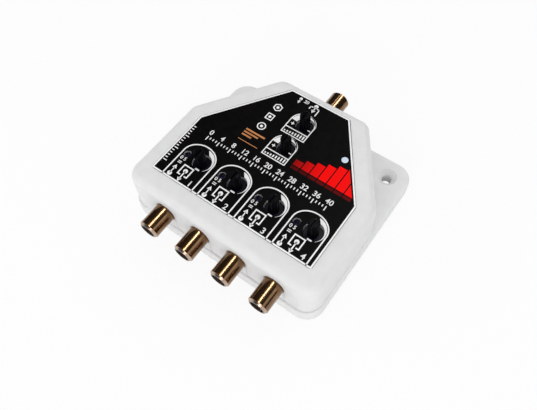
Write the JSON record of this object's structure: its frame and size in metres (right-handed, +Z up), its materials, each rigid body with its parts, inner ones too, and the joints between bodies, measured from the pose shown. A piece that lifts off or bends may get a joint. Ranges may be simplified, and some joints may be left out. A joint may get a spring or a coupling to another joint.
{
  "type": "tv signal amplifier",
  "caption": "Aerial signal amplifier in a six-sided white case on a tray with screw ears, with screwed coaxial sockets front and back and turning gain adjusters in a dark printed face.",
  "frame": {"origin": "centre of the tray's flat underside", "axes": "+Z up out of the printed face, -Y towards the row of output connectors, +X to the right as seen from the outputs"},
  "size_m": [0.101, 0.107, 0.036],
  "materials": {
    "white_plastic": "satin, slightly translucent white",
    "label_print": "black printed film with white lines",
    "black_plastic": "moulded black",
    "pot_plastic": "moulded dark grey",
    "lamp_lens": "tinted clear",
    "connector_nickel": "bronze-toned nickel plate",
    "board_laminate": "green solder mask",
    "insulator_plastic": "moulded dark insulator",
    "contact_metal": "plated",
    "tinned_sheet": "tinned",
    "chip_plastic": "moulded epoxy",
    "ferrite": "fired ferrite",
    "capacitor_sleeve": "dark sleeve",
    "chip_ceramic": "ceramic",
    "screw_zinc": "zinc plated"
  },
  "bodies": {
    "case": {"amplifier_chip": "chip_plastic", "band_potentiometer_1": "pot_plastic", "band_potentiometer_2": "pot_plastic", "base_tray": "white_plastic", "board_screws": "screw_zinc", "centre_contacts": "contact_metal", "chip_components": "chip_ceramic", "circuit_board": "board_laminate", "connector_insulators": "insulator_plastic", "cover_screws": "screw_zinc", "filter_capacitors": "capacitor_sleeve", "front_label": "label_print", "input_connector": "connector_nickel", "output_connector_1": "connector_nickel", "output_connector_2": "connector_nickel", "output_connector_3": "connector_nickel", "output_connector_4": "connector_nickel", "output_potentiometer_1": "pot_plastic", "output_potentiometer_2": "pot_plastic", "output_potentiometer_3": "pot_plastic", "output_potentiometer_4": "pot_plastic", "shield_can": "tinned_sheet", "splitter_cores": "ferrite", "status_lamp_1": "lamp_lens", "status_lamp_2": "lamp_lens", "status_lamp_3": "lamp_lens", "status_lamp_4": "lamp_lens", "top_cover": "white_plastic", "voltage_regulator": "chip_plastic"},
    "output_adjuster_1": {"output_adjuster_1": "black_plastic"},
    "output_adjuster_2": {"output_adjuster_2": "black_plastic"},
    "output_adjuster_3": {"output_adjuster_3": "black_plastic"},
    "output_adjuster_4": {"output_adjuster_4": "black_plastic"},
    "band_adjuster_1": {"band_adjuster_1": "black_plastic"},
    "band_adjuster_2": {"band_adjuster_2": "black_plastic"}
  },
  "joints": [
    {"name": "output_adjuster_1_turn", "type": "hinge", "parent": "case", "child": "output_adjuster_1", "pos_m": [-0.0246, -0.01805, 0.02], "axis": [0, 0, 1], "range_deg": [-135, 135]},
    {"name": "output_adjuster_2_turn", "type": "hinge", "parent": "case", "child": "output_adjuster_2", "pos_m": [-0.0054, -0.01805, 0.02], "axis": [0, 0, 1], "range_deg": [-135, 135]},
    {"name": "output_adjuster_3_turn", "type": "hinge", "parent": "case", "child": "output_adjuster_3", "pos_m": [0.0138, -0.01805, 0.02], "axis": [0, 0, 1], "range_deg": [-135, 135]},
    {"name": "output_adjuster_4_turn", "type": "hinge", "parent": "case", "child": "output_adjuster_4", "pos_m": [0.033, -0.01805, 0.02], "axis": [0, 0, 1], "range_deg": [-135, 135]},
    {"name": "band_adjuster_1_turn", "type": "hinge", "parent": "case", "child": "band_adjuster_1", "pos_m": [0.0011, 0.00855, 0.02], "axis": [0, 0, 1], "range_deg": [-135, 135]},
    {"name": "band_adjuster_2_turn", "type": "hinge", "parent": "case", "child": "band_adjuster_2", "pos_m": [0.0011, 0.02315, 0.02], "axis": [0, 0, 1], "range_deg": [-135, 135]}
  ]
}
